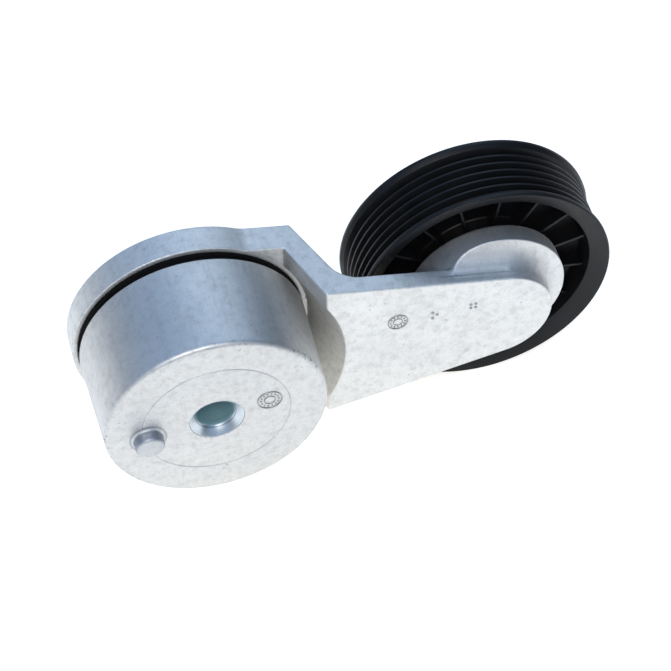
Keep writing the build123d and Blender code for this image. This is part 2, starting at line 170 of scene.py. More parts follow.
def join(name, obs):
    """One object out of several closed shells."""
    bm = bmesh.new()
    for o in obs:
        bm.from_mesh(o.data)
    me = bpy.data.meshes.new(name)
    bm.to_mesh(me)
    bm.free()
    for o in obs:
        bpy.data.objects.remove(o)
    ob = bpy.data.objects.new(name, me)
    bpy.context.scene.collection.objects.link(ob)
    return ob


def ring(r0, r1, y0, y1, e=0.25):
    return rounded([(r0, y0, e), (r1, y0, e), (r1, y1, e), (r0, y1, e)], 3)


# =====================================================================
# signed distance fields, for the two castings
# =====================================================================


def u_round(a, b, r):
    """Union with a concave fillet of radius r."""
    u = np.maximum(r - a, 0.0)
    v = np.maximum(r - b, 0.0)
    return np.maximum(r, np.minimum(a, b)) - np.sqrt(u * u + v * v)


def i_round(a, b, r):
    """Intersection with a rounded edge of radius r."""
    u = np.maximum(r + a, 0.0)
    v = np.maximum(r + b, 0.0)
    return np.minimum(-r, np.maximum(a, b)) + np.sqrt(u * u + v * v)


def surface_nets(field, lo, hi, h):
    """Quads on the zero level of field(x, y, z), then pulled exactly onto it."""
    nx, ny, nz = [int(math.ceil((hi[k] - lo[k]) / h)) + 1 for k in range(3)]
    xs = lo[0] + h * np.arange(nx)
    ys = lo[1] + h * np.arange(ny)
    zs = lo[2] + h * np.arange(nz)
    F = np.empty((nx, ny, nz), np.float32)
    step = 40
    for i in range(0, nx, step):
        X, Y, Z = np.meshgrid(xs[i:i + step], ys, zs, indexing="ij")
        F[i:i + step] = field(X, Y, Z)
    S = F < 0
    c = [(0, 0, 0), (1, 0, 0), (0, 1, 0), (1, 1, 0), (0, 0, 1), (1, 0, 1), (0, 1, 1), (1, 1, 1)]
    shp = (nx - 1, ny - 1, nz - 1)

    def cut(A, o):
        return A[o[0]:o[0] + shp[0], o[1]:o[1] + shp[1], o[2]:o[2] + shp[2]]
    cnt = sum(cut(S, o).astype(np.int8) for o in c)
    mask = (cnt > 0) & (cnt < 8)
    idx = np.full(shp, -1, np.int64)
    cells = np.argwhere(mask)
    idx[mask] = np.arange(len(cells))
    vals = np.stack([F[cells[:, 0] + o[0], cells[:, 1] + o[1], cells[:, 2] + o[2]] for o in c], 1).astype(float)
    acc = np.zeros((len(cells), 3))
    num = np.zeros(len(cells))
    edges = [(0, 1), (2, 3), (4, 5), (6, 7), (0, 2), (1, 3), (4, 6), (5, 7), (0, 4), (1, 5), (2, 6), (3, 7)]
    co = np.array(c, float)
    for a, b in edges:
        va, vb = vals[:, a], vals[:, b]
        hit = (va < 0) != (vb < 0)
        t = np.where(hit, va / np.where(hit, va - vb, 1.0), 0.0)
        p = co[a] + t[:, None] * (co[b] - co[a])
        acc += p * hit[:, None]
        num += hit
    P = np.array(lo) + h * (cells + acc / num[:, None])
    quads = []
    for axis in range(3):
        o = [0, 0, 0]
        o[axis] = 1
        A = S[:nx - o[0], :ny - o[1], :nz - o[2]]
        B = S[o[0]:, o[1]:, o[2]:]
        flip = A != B
        e = np.argwhere(flip)
        inside = A[flip]
        u, v = [(1, 2), (2, 0), (0, 1)][axis]
        ok = (e[:, u] > 0) & (e[:, v] > 0) & (e[:, u] < shp[u]) & (e[:, v] < shp[v]) & (e[:, axis] < shp[axis])
        e, inside = e[ok], inside[ok]
        du, dv = np.zeros(3, int), np.zeros(3, int)
        du[u], dv[v] = 1, 1
        q = np.stack([idx[tuple((e - du - dv).T)], idx[tuple((e - dv).T)], idx[tuple(e.T)], idx[tuple((e - du).T)]], 1)
        q = np.where(inside[:, None], q, q[:, ::-1])
        quads.append(q)
    Q = np.concatenate(quads)
    Q = Q[(Q >= 0).all(1)]
    d = 0.02
    for _ in range(4):
        f = field(P[:, 0], P[:, 1], P[:, 2])
        g = np.stack([
            field(P[:, 0] + d, P[:, 1], P[:, 2]) - field(P[:, 0] - d, P[:, 1], P[:, 2]),
            field(P[:, 0], P[:, 1] + d, P[:, 2]) - field(P[:, 0], P[:, 1] - d, P[:, 2]),
            field(P[:, 0], P[:, 1], P[:, 2] + d) - field(P[:, 0], P[:, 1], P[:, 2] - d)], 1) / (2 * d)
        s = (g * g).sum(1)
        mv = -(f / np.maximum(s, 0.25))[:, None] * g
        ln = np.linalg.norm(mv, axis=1)
        mv *= np.minimum(1.0, 0.5 * h / np.maximum(ln, 1e-9))[:, None]
        P = P + mv
    return P, Q


def sdf_object(name, field, lo, hi, h, keep=None):
    """Closed mesh of the field, flat areas merged, smooth shaded."""
    P, Q = surface_nets(field, lo, hi, h)
    me = bpy.data.meshes.new(name)
    me.vertices.add(len(P))
    me.vertices.foreach_set("co", (P * MM).ravel())
    me.loops.add(4 * len(Q))
    me.loops.foreach_set("vertex_index", Q.ravel().astype(np.int32))
    me.polygons.add(len(Q))
    me.polygons.foreach_set("loop_start", (4 * np.arange(len(Q))).astype(np.int32))
    me.polygons.foreach_set("loop_total", np.full(len(Q), 4, np.int32))
    me.update(calc_edges=True)
    me.validate()
    bm = bmesh.new()
    bm.from_mesh(me)
    bmesh.ops.dissolve_limit(bm, angle_limit=math.radians(0.35), use_dissolve_boundaries=False, verts=bm.verts[:], edges=bm.edges[:])
    bmesh.ops.triangulate(bm, faces=[f for f in bm.faces if len(f.verts) > 4], quad_method="BEAUTY", ngon_method="BEAUTY")
    bm.to_mesh(me)
    bm.free()
    me.polygons.foreach_set("use_smooth", np.ones(len(me.polygons), bool))
    ob = bpy.data.objects.new(name, me)
    bpy.context.scene.collection.objects.link(ob)
    return ob


def field_normals(ob, field, lo=None, d=0.03):
    me = ob.data
    n = len(me.vertices)
    co = np.empty(3 * n)
    me.vertices.foreach_get("co", co)
    p = co.reshape(-1, 3) / MM
    g = np.stack([
        field(p[:, 0] + d, p[:, 1], p[:, 2]) - field(p[:, 0] - d, p[:, 1], p[:, 2]),
        field(p[:, 0], p[:, 1] + d, p[:, 2]) - field(p[:, 0], p[:, 1] - d, p[:, 2]),
        field(p[:, 0], p[:, 1], p[:, 2] + d) - field(p[:, 0], p[:, 1], p[:, 2] - d)], 1)
    g /= np.maximum(np.linalg.norm(g, axis=1, keepdims=True), 1e-9)
    me.normals_split_custom_set_from_vertices([tuple(v) for v in g])


# =====================================================================
# materials
# =====================================================================


def nodes_of(name):
    m = bpy.data.materials.new(name)
    m.use_nodes = True
    nt = m.node_tree
    bsdf = nt.nodes["Principled BSDF"]
    return m, nt, bsdf


def N(nt, kind, **kw):
    n = nt.nodes.new(kind)
    for k, v in kw.items():
        if k in n.inputs:
            n.inputs[k].default_value = v
        else:
            setattr(n, k, v)
    return n


def ramp(nt, src, stops, interp="LINEAR"):
    r = nt.nodes.new("ShaderNodeValToRGB")
    r.color_ramp.interpolation = interp
    el = r.color_ramp.elements
    while len(el) > 1:
        el.remove(el[-1])
    el[0].position = stops[0][0]
    el[0].color = col(stops[0][1])
    for p, c in stops[1:]:
        e = el.new(p)
        e.color = col(c)
    nt.links.new(src, r.inputs[0])
    return r.outputs[0]


def col(c):
    if isinstance(c, (int, float)):
        return (c, c, c, 1.0)
    return (*c, 1.0) if len(c) == 3 else tuple(c)


def noise(nt, co, scale, detail=4.0, rough=0.5, lac=2.0, dist=0.0):
    n = N(nt, "ShaderNodeTexNoise", Scale=scale, Detail=detail, Roughness=rough, Lacunarity=lac, Distortion=dist)
    nt.links.new(co, n.inputs["Vector"])
    return n.outputs[0]


def mix(nt, fac, a, b, mode="MIX"):
    m = nt.nodes.new("ShaderNodeMix")
    m.data_type = "RGBA"
    m.blend_type = mode
    for sock, v in ((m.inputs[0], fac), (m.inputs[6], a), (m.inputs[7], b)):
        if isinstance(v, bpy.types.NodeSocket):
            nt.links.new(v, sock)
        elif sock == m.inputs[0]:
            sock.default_value = v
        else:
            sock.default_value = col(v)
    return m.outputs[2]


def math_node(nt, op, a, b=None, c=None, clamp=False):
    m = nt.nodes.new("ShaderNodeMath")
    m.operation = op
    m.use_clamp = clamp
    for k, v in enumerate((a, b, c)):
        if v is None:
            continue
        if isinstance(v, bpy.types.NodeSocket):
            nt.links.new(v, m.inputs[k])
        else:
            m.inputs[k].default_value = v
    return m.outputs[0]


def bump(nt, height, strength, distance, normal=None):
    b = N(nt, "ShaderNodeBump", Strength=strength, Distance=distance)
    nt.links.new(height, b.inputs["Height"])
    if normal is not None:
        nt.links.new(normal, b.inputs["Normal"])
    return b.outputs[0]


def object_co(nt):
    return nt.nodes.new("ShaderNodeTexCoord").outputs["Object"]


def radial(nt, oc, cx, cz):
    """Distance from the line x=cx, z=cz (mm) parallel to Y, in metres, and the Y coordinate."""
    sep = nt.nodes.new("ShaderNodeSeparateXYZ")
    nt.links.new(oc, sep.inputs[0])
    x = math_node(nt, "SUBTRACT", sep.outputs[0], cx * MM)
    z = math_node(nt, "SUBTRACT", sep.outputs[2], cz * MM)
    return math_node(nt, "SQRT", math_node(nt, "ADD", math_node(nt, "MULTIPLY", x, x), math_node(nt, "MULTIPLY", z, z))), sep.outputs[1]


def band_mask(nt, v, a, b):
    """0 to 1 as v goes from a to b millimetres."""
    m = N(nt, "ShaderNodeMapRange", interpolation_type="SMOOTHSTEP")
    nt.links.new(v, m.inputs["Value"])
    m.inputs["From Min"].default_value = a * MM
    m.inputs["From Max"].default_value = b * MM
    return m.outputs[0]


def cast_aluminium(name, seed=0.0, gain=1.0, rough=0.50, case=False):
    """Die-cast aluminium: fine grain, slow drift of tone, drag lines along Y, small pits and grey stains."""
    m, nt, b = nodes_of(name)
    oc = object_co(nt)
    mp = N(nt, "ShaderNodeMapping")
    mp.inputs["Location"].default_value = (seed, seed * 0.7, -seed * 0.4)
    nt.links.new(oc, mp.inputs["Vector"])
    co = mp.outputs[0]
    ms = N(nt, "ShaderNodeMapping")
    ms.inputs["Location"].default_value = (seed, 0.3, seed)
    ms.inputs["Scale"].default_value = (1.0, 0.07, 1.0)
    nt.links.new(oc, ms.inputs["Vector"])
    drag = noise(nt, ms.outputs[0], 420.0, 5.0, 0.62)
    cloud = noise(nt, co, 34.0, 5.0, 0.55)
    mottle = noise(nt, co, 330.0, 6.0, 0.68)
    grain = noise(nt, co, 2600.0, 3.0, 0.6)
    base = ramp(nt, cloud, [(0.32, tuple(gain * t for t in (0.680, 0.675, 0.650))), (0.50, tuple(gain * t for t in (0.705, 0.700, 0.675))),
                            (0.70, tuple(gain * t for t in (0.730, 0.724, 0.695)))])
    base = mix(nt, 1.0, base, ramp(nt, mottle, [(0.30, 0.86), (0.52, 1.0), (0.75, 1.03)]), "MULTIPLY")
    base = mix(nt, 1.0, base, ramp(nt, drag, [(0.28, 0.91), (0.50, 1.0), (1.0, 1.0)]), "MULTIPLY")
    base = mix(nt, 1.0, base, ramp(nt, grain, [(0.30, 0.90), (0.55, 1.0), (1.0, 1.0)]), "MULTIPLY")
    # grey stains, sparse
    stain = ramp(nt, noise(nt, co, 80.0, 6.0, 0.74, 2.1, 0.6), [(0.0, 0.0), (0.585, 0.0), (0.70, 1.0)])
    base = mix(nt, math_node(nt, "MULTIPLY", stain, 0.26), base, (0.34, 0.35, 0.37))
    # short scuffs
    wv = N(nt, "ShaderNodeTexNoise", Scale=300.0, Detail=2.0, Roughness=0.5, Distortion=3.5)
    nt.links.new(co, wv.inputs["Vector"])
    scuff = ramp(nt, wv.outputs[0], [(0.0, 0.0), (0.497, 0.0), (0.503, 1.0), (0.509, 0.0)])
    gate2 = ramp(nt, noise(nt, co, 60.0, 2.0, 0.5, 2.0, 1.0), [(0.0, 0.0), (0.60, 0.0), (0.66, 1.0)])
    scuff = math_node(nt, "MULTIPLY", scuff, gate2)
    base = mix(nt, math_node(nt, "MULTIPLY", scuff, 0.42), base, (0.28, 0.29, 0.30))
    # pits, uneven in size
    warp = N(nt, "ShaderNodeVectorMath", operation="MULTIPLY_ADD")
    wn_ = N(nt, "ShaderNodeTexNoise", Scale=900.0, Detail=2.0)
    nt.links.new(co, wn_.inputs["Vector"])
    nt.links.new(wn_.outputs["Color"], warp.inputs[0])
    warp.inputs[1].default_value = (0.0011, 0.0011, 0.0011)
    nt.links.new(co, warp.inputs[2])
    vor = N(nt, "ShaderNodeTexVoronoi", Scale=520.0)
    nt.links.new(warp.outputs[0], vor.inputs["Vector"])
    gate = ramp(nt, noise(nt, co, 150.0, 3.0), [(0.0, 0.0), (0.57, 0.0), (0.68, 1.0)])
    pit = math_node(nt, "MULTIPLY", ramp(nt, vor.outputs["Distance"], [(0.0, 1.0), (0.10, 1.0), (0.22, 0.0)]), gate)
    base = mix(nt, math_node(nt, "MULTIPLY", pit, 0.6), base, (0.20, 0.20, 0.20))
    if case:
        # worn, flecked rear edge; painted reflection on the locating pin, tinted blue-grey most on its side wall;
        # painted shade in the crease round the pin's foot
        rad, yy = radial(nt, oc, 0.0, 0.0)
        edge = math_node(nt, "MULTIPLY", band_mask(nt, rad, 37.6, 38.7), math_node(nt, "SUBTRACT", 1.0, band_mask(nt, yy, 1.2, 3.0)))
        fleck = ramp(nt, noise(nt, co, 520.0, 5.0, 0.75), [(0.0, 0.0), (0.54, 0.0), (0.63, 1.0)])
        fleck = math_node(nt, "MULTIPLY", fleck, ramp(nt, noise(nt, co, 48.0, 2.0), [(0.40, 0.25), (0.62, 1.0)]))
        base = mix(nt, math_node(nt, "MULTIPLY", math_node(nt, "MULTIPLY", fleck, edge), 0.85), base, (0.13, 0.14, 0.16))
        # painted reflection: the pin's body is tinted blue-grey, most on its side wall and less on its end face, for
        # the sky it reflects
        pr, py = radial(nt, oc, PIN_X, PIN_Z)
        pin_reflection_mask = math_node(nt, "MULTIPLY", math_node(nt, "SUBTRACT", 1.0, band_mask(nt, pr, 5.3, 5.9)), math_node(nt, "SUBTRACT", 1.0, band_mask(nt, py, -0.9, -0.3)))
        side = math_node(nt, "MULTIPLY_ADD", band_mask(nt, py, -4.5, -3.9), 0.55, 0.30)
        base = mix(nt, math_node(nt, "MULTIPLY", pin_reflection_mask, side), base, (0.32, 0.36, 0.42))
        # painted shade: a darker ring in the concave fillet at the pin's foot
        pin_foot_shade = math_node(nt, "MULTIPLY", math_node(nt, "SUBTRACT", 1.0, band_mask(nt, math_node(nt, "ABSOLUTE", math_node(nt, "SUBTRACT", pr, 6.3 * MM)), 0.15, 0.6)),
                              math_node(nt, "SUBTRACT", 1.0, band_mask(nt, py, 0.3, 0.6)))
        base = mix(nt, math_node(nt, "MULTIPLY", pin_foot_shade, 0.55), base, (0.22, 0.24, 0.27))
    nt.links.new(base, b.inputs["Base Color"])
    b.inputs["Metallic"].default_value = 1.0
    nt.links.new(ramp(nt, mottle, [(0.25, rough + 0.06), (0.75, rough - 0.06)]), b.inputs["Roughness"])
    h = math_node(nt, "ADD", math_node(nt, "MULTIPLY", grain, 0.45), math_node(nt, "MULTIPLY", noise(nt, co, 640.0, 4.0, 0.65), 0.8))
    h = math_node(nt, "SUBTRACT", h, math_node(nt, "MULTIPLY", pit, 1.2))
    h = math_node(nt, "ADD", h, math_node(nt, "MULTIPLY", drag, 0.6))
    nt.links.new(bump(nt, h, 0.5, 0.00013), b.inputs["Normal"])
    return m


def steel(name, tone, rough, turned=True, cx=0.0, tint=(1.0, 1.0, 1.0), streak=900.0, painted_bore_tone=False):
    """Turned or drawn steel with fine rings about an axis parallel to Y."""
    m, nt, b = nodes_of(name)
    oc = object_co(nt)
    sep = nt.nodes.new("ShaderNodeSeparateXYZ")
    nt.links.new(oc, sep.inputs[0])
    x = math_node(nt, "SUBTRACT", sep.outputs[0], cx * MM)
    rad = math_node(nt, "SQRT", math_node(nt, "ADD", math_node(nt, "MULTIPLY", x, x), math_node(nt, "MULTIPLY", sep.outputs[2], sep.outputs[2])))
    comb = nt.nodes.new("ShaderNodeCombineXYZ")
    nt.links.new(rad, comb.inputs[0])
    nt.links.new(sep.outputs[1], comb.inputs[1])
    lines = noise(nt, comb.outputs[0], streak * 4.0, 3.0, 0.6) if turned else noise(nt, oc, streak, 3.0, 0.6)
    cloud = noise(nt, oc, 160.0, 4.0, 0.6)
    c = ramp(nt, cloud, [(0.3, tuple(tone * 0.86 * t for t in tint)), (0.7, tuple(min(1, tone * 1.06) * t for t in tint))])
    c = mix(nt, 0.25, c, ramp(nt, lines, [(0.3, 0.55), (0.7, 1.0)]), "MULTIPLY")
    b.inputs["Metallic"].default_value = 1.0
    if painted_bore_tone:
        # painted reflection: a grey-green, partly non-metal tone inside the bore stands in for the reflections it
        # would show; painted shade: a darker ring on the flare near its corner with the bore
        inside = math_node(nt, "SUBTRACT", 1.0, band_mask(nt, rad, 6.55, 6.7))
        c = mix(nt, inside, c, ramp(nt, lines, [(0.3, (0.26, 0.42, 0.45)), (0.7, (0.40, 0.60, 0.63))]))
        lip_shade = math_node(nt, "SUBTRACT", 1.0, band_mask(nt, math_node(nt, "ABSOLUTE", math_node(nt, "SUBTRACT", rad, 7.15 * MM)), 0.10, 0.24))
        c = mix(nt, math_node(nt, "MULTIPLY", lip_shade, 0.6), c, (0.12, 0.15, 0.18))
        nt.links.new(math_node(nt, "SUBTRACT", 1.0, math_node(nt, "MULTIPLY", inside, 0.62)), b.inputs["Metallic"])
    nt.links.new(c, b.inputs["Base Color"])
    nt.links.new(ramp(nt, lines, [(0.2, rough * 1.25), (0.8, rough * 0.8)]), b.inputs["Roughness"])
    nt.links.new(bump(nt, lines, 0.25, 0.00003), b.inputs["Normal"])
    return m


def plastic(name, c0, c1, r0, r1, dust=0.0, scale=60.0, grain=900.0, bumpd=0.00004, spec=0.5):
    m, nt, b = nodes_of(name)
    b.inputs["Specular IOR Level"].default_value = spec
    oc = object_co(nt)
    cl = noise(nt, oc, scale, 5.0, 0.6)
    base = ramp(nt, cl, [(0.3, c0), (0.7, c1)])
    if dust:
        sp = noise(nt, oc, 700.0, 6.0, 0.75)
        base = mix(nt, math_node(nt, "MULTIPLY", ramp(nt, sp, [(0.0, 0.0), (0.60, 0.0), (0.72, 1.0)]), dust), base, (0.26, 0.26, 0.25))
    nt.links.new(base, b.inputs["Base Color"])
    nt.links.new(ramp(nt, noise(nt, oc, scale * 2.3, 4.0, 0.6), [(0.3, r0), (0.7, r1)]), b.inputs["Roughness"])
    nt.links.new(bump(nt, noise(nt, oc, grain, 3.0, 0.6), 0.4, bumpd), b.inputs["Normal"])
    return m


M_CASE = cast_aluminium("cast_aluminium_case", 0.013, case=True)
M_ARM = cast_aluminium("cast_aluminium_arm", 0.41, gain=1.15, rough=0.56)
# painted shade: a darker copy of the cast aluminium for the raised stamp rings and dots, standing in for the shade of
# their relief
M_MARK_SHADED = cast_aluminium("cast_mark_painted_shade", 0.2, gain=0.62)
M_TUBE = steel("bright_steel", 0.70, 0.30, tint=(0.92, 1.0, 1.04), painted_bore_tone=True)
M_PLATE = steel("plated_steel", 0.66, 0.34, tint=(1.0, 0.99, 0.95))
M_SHIELD = steel("plated_steel_shield", 0.64, 0.34, cx=L, tint=(1.0, 0.99, 0.95))
M_BOLT = steel("bolt_steel", 0.58, 0.36, turned=False, tint=(1.0, 0.98, 0.90), streak=500.0)
M_BRG = steel("bearing_steel", 0.80, 0.16, cx=L)
M_BALL = steel("ball_steel", 0.86, 0.06, turned=False, streak=300.0)
M_CAGE = steel("cage_steel", 0.60, 0.32, turned=False)
M_SPRING = steel("spring_steel", 0.17, 0.42, turned=False, streak=350.0)
M_NYLON = plastic("white_nylon", (0.74, 0.72, 0.66), (0.82, 0.80, 0.74), 0.45, 0.55)
M_BUSH = plastic("bearing_plastic", (0.36, 0.31, 0.22), (0.46, 0.40, 0.29), 0.40, 0.50)
M_SHOE = plastic("friction_nylon", (0.10, 0.09, 0.08), (0.15, 0.13, 0.11), 0.50, 0.62)
M_SEAL = plastic("seal_rubber", (0.003, 0.003, 0.0035), (0.006, 0.006, 0.0065), 0.55, 0.70, spec=0.2)
M_PULLEY = plastic("pulley_nylon", (0.003, 0.003, 0.0035), (0.006, 0.006, 0.0068), 0.38, 0.50, dust=0.02, spec=0.32)


def dress(ob, mat, body, replaces=()):
    ob.data.materials.clear()
    ob.data.materials.append(mat)
    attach(ob, body)
    if replaces:
        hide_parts(*replaces)
    return ob


# =====================================================================
# spring case
# =====================================================================
case_prof = rounded([
    (9.8, 0.02, 0.2), (25.75, 0.0), (25.95, 0.05), (26.15, 0.28), (26.35, 0.05), (26.55, 0.0),
    (39.5, 0.0, 1.9), (40.9, 37.8, 0.8), (35.2, 37.8, 0.5), (35.2, 6.0, 1.5),
    (14.0, 6.0, 1.5), (14.0, 18.0, 0.5), (9.0, 18.0), (9.0, 3.0), (9.8, 1.2)], 6)
case = lathe("case_casting", case_prof, segs=256)

foot = [(0.0, 0.4), (6.4, 0.4), (6.4, -0.005)]
for k in range(1, 9):
    a = math.pi / 2 * k / 8
    foot.append((5.2 + 1.2 * (1 - math.sin(a)), -1.2 * (1 - math.cos(a))))
pin_prof = foot + rounded([(5.2, -1.2), (5.2, -4.6, 1.5), (0.0, -4.6)], 8)[1:]
pin = lathe("pin_casting", pin_prof, segs=96)
for v in pin.data.vertices:
    v.co.x += PIN_X * MM
    v.co.z += PIN_Z * MM


def sector_block(name, r0, r1, y0, y1, a0, a1, n=8):
    """Closed block, angles in degrees about the pivot axis, from +X towards -Z."""
    th = np.radians(np.linspace(a0, a1, n + 1))
    vs, fs = [], []
    for t in th:
        for r, y in ((r0, y0), (r1, y0), (r1, y1), (r0, y1)):
            vs.append((r * math.cos(t), y, -r * math.sin(t)))
    for i in range(n):
        for k in range(4):
            fs.append((i * 4 + k, i * 4 + (k + 1) % 4, (i + 1) * 4 + (k + 1) % 4, (i + 1) * 4 + k))
    fs.append((0, 3, 2, 1))
    fs.append((n * 4, n * 4 + 1, n * 4 + 2, n * 4 + 3))
    ob = new_object(name, vs, fs, smooth=False)
    bm = bmesh.new()
    bm.from_mesh(ob.data)
    bmesh.ops.recalc_face_normals(bm, faces=bm.faces[:])
    bm.to_mesh(ob.data)
    bm.free()
    shade(ob, 30)
    return ob


stops = [sector_block("s1", 30.0, 35.6, 5.6, 37.0, 188.6, 203.0), sector_block("s2", 30.0, 35.6, 5.6, 37.0, 102.0, 116.4),
         sector_block("s3", 21.2, 28.2, 5.6, 13.1, -13.0, -0.8)]
case = join("spring_case_casting", [case, pin] + stops)
dress(case, M_CASE, "base", ["spring_case"])


# generic foundry stamp: plain rings and dots, no lettering
def stamp(name, x, y, z, radius, dots=12):
    parts = []

    def band(r0, r1, h):
        return lathe(name + "_b", rounded([(r0, 0.15), (r0, -h, 0.08), (r1, -h, 0.08), (r1, 0.15)], 3), segs=72)
    parts.append(band(radius - 0.42, radius, 0.30))
    parts.append(band(radius * 0.40, radius * 0.40 + 0.34, 0.24))
    for k in range(dots):
        a = 2 * math.pi * k / dots
        d = lathe(name + "_d", rounded([(0.0, 0.1), (0.30, 0.1), (0.30, -0.26, 0.08), (0.0, -0.26)], 3), segs=14)
        for v in d.data.vertices:
            v.co.x += radius * 0.70 * math.cos(a) * MM
            v.co.z += radius * 0.70 * math.sin(a) * MM
        parts.append(d)
    ob = join(name, parts)
    for v in ob.data.vertices:
        v.co.x += x * MM
        v.co.y += y * MM
        v.co.z += z * MM
    return ob


def dots(name, spots, y, rad=0.55, height=0.28):
    """Plain raised dots: a cavity mark with no lettering."""
    parts = []
    for x, z in spots:
        d = lathe(name + "_d", rounded([(0.0, 0.1), (rad, 0.1), (rad, -height, 0.15), (0.0, -height)], 4), segs=20)
        for v in d.data.vertices:
            v.co.x += x * MM
            v.co.y += y * MM
            v.co.z += z * MM
        parts.append(d)
    return join(name, parts)


# the stamps and dots wear the darker copy of the cast aluminium: painted shade
dress(stamp("case_stamp", 18.8, 0.0, 4.3, 4.5, 14), M_MARK_SHADED, "base")
dress(stamp("arm_stamp", 69.5, 17.3, 9.6, 3.7, 12), M_MARK_SHADED, "swing_arm")
dress(dots("arm_cavity_dots", [(82.2, 7.6), (83.9, 9.0), (82.2, 10.4), (96.2, 8.6), (98.0, 8.6), (96.2, 10.4), (98.0, 10.4)], 17.3), M_MARK_SHADED, "swing_arm")

# =====================================================================
# arm
# =====================================================================
CAP_R, CAP_REAR, CAP_UNDER, CAP_FRONT, SKIRT = 42.8, 40.4, 43.5, 51.2, 40.6
LEV0, LEV1, TIP_R, TAPER = 17.3, 24.4, 20.3, math.radians(10.8)
SCOOP = 50.6
RX0, RX1 = 34.8, 44.0
FX0, FX1 = 39.2, 51.1
B0, B1 = 49.5, 57.5


def outline(x, z):
    """Plan view of ramp, lever and tip."""
    az = np.abs(z)
    u = x - L
    line = u * math.sin(TAPER) + az * math.cos(TAPER) - TIP_R
    along = u * math.cos(TAPER) - az * math.sin(TAPER)
    return np.where(along > 0, np.sqrt(u * u + z * z) - TIP_R, line)


def box2(a, b, ca, cb, ha, hb, r):
    qa, qb = np.abs(a - ca) - ha + r, np.abs(b - cb) - hb + r
    return np.minimum(np.maximum(qa, qb), 0) + np.sqrt(np.maximum(qa, 0) ** 2 + np.maximum(qb, 0) ** 2) - r


def half_plane(x, y, x0, y0, x1, y1):
    """Negative on the right-hand side of the line from point 0 to point 1."""
    dx, dy = x1 - x0, y1 - y0
    n = math.hypot(dx, dy)
    return (-(x - x0) * dy + (y - y0) * dx) / n


def smooth(a, b, v):
    t = np.clip((v - a) / (b - a), 0.0, 1.0)
    return t * t * (3 - 2 * t)


def arm_field(x, y, z):
    r = np.sqrt(x * x + z * z)
    # cap, with a thin rear lip
    cap = i_round(i_round(r - CAP_R, y - CAP_FRONT, 0.6), CAP_REAR - y, 0.5)
    # lever and ramp
    a = CAP_REAR - y
    b = half_plane(x, y, RX1, LEV0, RX0, CAP_REAR)      # positive behind the ramp's rear face
    rear = i_round(u_round(a, b, 0.5), LEV0 - y, 0.5)
    d = y - LEV1
    e = -half_plane(x, y, FX1, LEV1, FX0, CAP_FRONT)
    slope = (B1 - B0) / (CAP_FRONT - LEV1)
    cone = (r - (B0 + (CAP_FRONT - y) * slope)) / math.hypot(1, slope)
    front = i_round(u_round(d, u_round(e, cone, 3.0), 6.0), y - CAP_FRONT, 0.5)
    out = outline(x, z)
    # the two halves of the die are a little out of step beside the boss
    step = 0.42 * smooth(84.0, 90.0, x) * (1.0 - smooth(109.5, 112.0, x)) * smooth(20.75, 21.05, y) * (1.0 - smooth(21.3, 23.6, y))
    side = out + step
    lever = i_round(i_round(rear, front, 0.45), side, 0.62)
    lever = np.maximum(lever, 18.0 - x)
    f = u_round(cap, lever, 0.5)
    # boss, with a concave foot that follows the lever's outline
    u = x - L
    rp = np.sqrt(u * u + z * z)
    o = out + step
    boss = i_round(rp - 28.5, 20.0 - y, 0.2)
    boss = i_round(boss, 8.2 - np.sqrt((np.maximum(o, -1.0) - 8.2) ** 2 + (y - 20.0) ** 2), 0.42)
    boss = i_round(boss, y - 36.1, 1.2)
    # wide fillet where the lever's front face meets the boss
    blend = 0.5 + 1.9 * smooth(23.4, 24.2, y) * (1.0 - smooth(86.0, 91.0, x))
    f = u_round(f, boss, blend)
    neck = i_round(rp - 12.0, y - 38.84, 0.4)
    f = u_round(f, np.maximum(neck, 30 - y), 1.0)
    f = np.minimum(f, np.maximum(rp - 8.5, np.maximum(30 - y, y - 50.84)))
    # room for the case
    sl = (SCOOP - CAP_R) / (CAP_REAR - LEV0)
    scoop = np.maximum((r - (CAP_R - 0.15 + (CAP_REAR - y) * sl)) / math.hypot(1, sl), y - CAP_REAR)
    f = i_round(f, -scoop, 0.42)
    void = np.maximum(r - SKIRT, y - CAP_UNDER)
    f = i_round(f, -void, 0.5)
    # hub
    hub = np.maximum(np.maximum(r - 15.0, 19.0 - y), y - 45.0)
    f = u_round(f, hub, 0.8)
    # stops
    ang = np.degrees(np.arctan2(-z, x)) % 360.0
    for a0, a1, r0, r1, y0 in ((172.0, 188.0, 29.6, 34.7, 30.5), (216.8, 229.0, 21.2, 27.8, 37.1)):
        mid, hw = (a0 + a1) / 2, (a1 - a0) / 2
        blk = np.maximum(np.maximum(r0 - r, r - r1), np.maximum((np.abs(ang - mid) - hw) * math.pi / 180 * r, np.maximum(y0 - y, y - 45.0)))
        f = np.minimum(f, blk)
    # bores
    f = np.maximum(f, -np.maximum(r - 11.0, y - 60))
    f = np.maximum(f, -np.maximum(rp - 5.0, 24.0 - y))
    f = i_round(f, -np.maximum(r - 20.2, 48.0 - y), 0.4)
    return f


arm = sdf_object("arm_casting", arm_field, (-44.5, 15.5, -44.5), (L + 30.5, 52.5, 44.5), 0.5)
field_normals(arm, arm_field)
dress(arm, M_ARM, "swing_arm", ["arm"])

